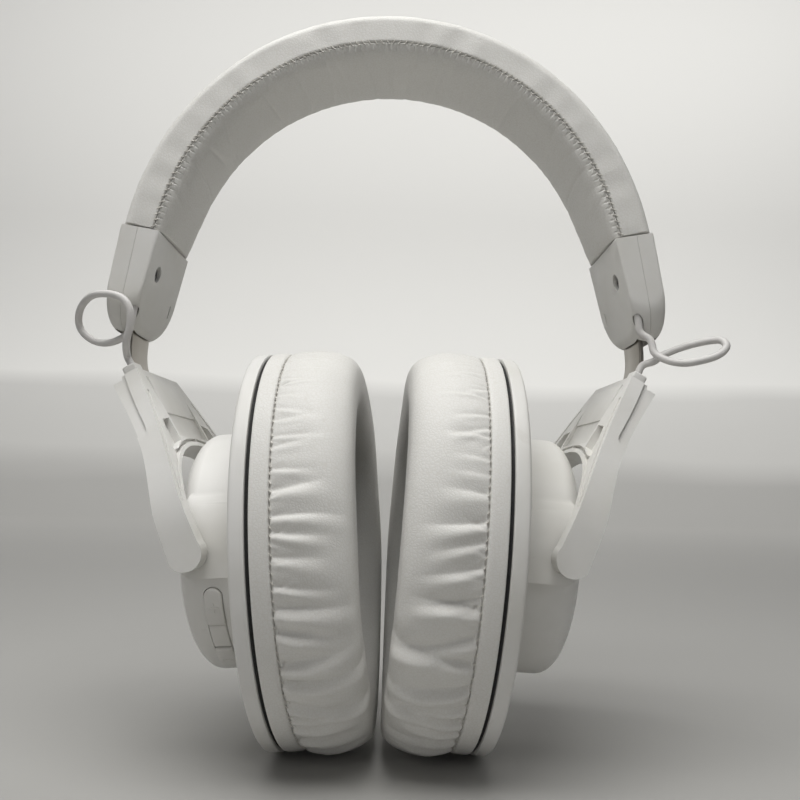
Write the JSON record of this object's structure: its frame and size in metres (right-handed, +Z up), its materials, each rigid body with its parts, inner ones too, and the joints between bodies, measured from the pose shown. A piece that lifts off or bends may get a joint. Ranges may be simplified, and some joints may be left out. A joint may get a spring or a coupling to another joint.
{
  "type": "over-ear headphones",
  "caption": "Wireless over-ear headphones with a padded headband, sliding forks, tilting oval ear cups with gathered cushions and a row of side keys.",
  "frame": {"origin": "centre of the bounding box in X and Y, at the bottoms of the ear cups, which it stands on", "axes": "+X from the cup with the keys, called left, to the other cup; -Y the front, where the keys and link cords are; +Z up"},
  "size_m": [0.1695, 0.0888, 0.1935],
  "materials": {
    "white_plastic": "fine matte",
    "white_leather": "soft, finely grained",
    "slider_steel": "brushed",
    "black_foam": "matte",
    "driver_cloth": "woven",
    "dark_metal": "satin",
    "diaphragm_film": "glossy film",
    "board_green": "satin",
    "battery_wrap": "glossy film"
  },
  "bodies": {
    "headband": {"headband_cover": "white_leather", "headband_pad": "white_leather", "headband_spring": "slider_steel"},
    "left_arm": {"left_end_cap_inner": "white_plastic", "left_end_cap_outer": "white_plastic", "left_end_cap_screw": "dark_metal", "left_detent_spring": "dark_metal", "left_link_cord": "white_plastic"},
    "left_fork": {"left_slider": "slider_steel", "left_yoke": "white_plastic", "left_yoke_cover": "white_plastic", "left_pivot_pin_front": "dark_metal", "left_pivot_pin_rear": "dark_metal"},
    "left_cup": {"left_housing": "white_plastic", "left_outer_disc": "white_plastic", "left_gasket": "black_foam", "left_baffle": "white_plastic", "left_driver_frame": "black_foam", "left_driver_diaphragm": "diaphragm_film", "left_driver_magnet": "dark_metal", "left_driver_cloth": "driver_cloth", "left_ear_pad": "white_leather", "left_circuit_board": "board_green", "left_charging_socket": "slider_steel"},
    "right_arm": {"right_end_cap_inner": "white_plastic", "right_end_cap_outer": "white_plastic", "right_end_cap_screw": "dark_metal", "right_detent_spring": "dark_metal", "right_link_cord": "white_plastic"},
    "right_fork": {"right_slider": "slider_steel", "right_yoke": "white_plastic", "right_yoke_cover": "white_plastic", "right_pivot_pin_front": "dark_metal", "right_pivot_pin_rear": "dark_metal"},
    "right_cup": {"right_housing": "white_plastic", "right_outer_disc": "white_plastic", "right_gasket": "black_foam", "right_baffle": "white_plastic", "right_driver_frame": "black_foam", "right_driver_diaphragm": "diaphragm_film", "right_driver_magnet": "dark_metal", "right_driver_cloth": "driver_cloth", "right_ear_pad": "white_leather", "right_battery": "battery_wrap"},
    "volume_up_button": {"key_volume_up": "white_plastic"},
    "function_button": {"key_function": "white_plastic"},
    "volume_down_button": {"key_volume_down": "white_plastic"}
  },
  "joints": [
    {"name": "left_spread", "type": "hinge", "parent": "headband", "child": "left_arm", "pos_m": [0, 0, 0.19323], "axis": [0, 1, 0], "range_deg": [0, 12], "stiffness_Nm_per_rad": 2.5, "deforming": ["headband_cover", "headband_pad", "headband_spring"]},
    {"name": "left_slide", "type": "slide", "parent": "left_arm", "child": "left_fork", "axis": [-0.0958, 0, -0.9954], "range_m": [-0.003, 0.024], "deforming": ["left_link_cord"]},
    {"name": "left_tilt", "type": "hinge", "parent": "left_fork", "child": "left_cup", "pos_m": [-0.0417, 0.00084, 0.05162], "axis": [0.0523, 0.9986, 0], "range_deg": [0, 6]},
    {"name": "right_spread", "type": "hinge", "parent": "headband", "child": "right_arm", "pos_m": [0, 0, 0.19323], "axis": [0, -1, 0], "range_deg": [0, 12], "stiffness_Nm_per_rad": 2.5},
    {"name": "right_slide", "type": "slide", "parent": "right_arm", "child": "right_fork", "axis": [0.0958, 0, -0.9954], "range_m": [-0.003, 0.024], "deforming": ["right_link_cord"]},
    {"name": "right_tilt", "type": "hinge", "parent": "right_fork", "child": "right_cup", "pos_m": [0.0417, 0.00084, 0.05162], "axis": [0.0523, -0.9986, 0], "range_deg": [0, 6]},
    {"name": "volume_up_press", "type": "slide", "parent": "left_cup", "child": "volume_up_button", "axis": [0.0219, 0.9305, 0.3655], "range_m": [0, 0.0007], "stiffness_N_per_m": 900},
    {"name": "function_press", "type": "slide", "parent": "left_cup", "child": "function_button", "axis": [-0.0038, 0.7893, 0.614], "range_m": [0, 0.0007], "stiffness_N_per_m": 900},
    {"name": "volume_down_press", "type": "slide", "parent": "left_cup", "child": "volume_down_button", "axis": [-0.0292, 0.583, 0.8119], "range_m": [0, 0.0007], "stiffness_N_per_m": 900}
  ]
}
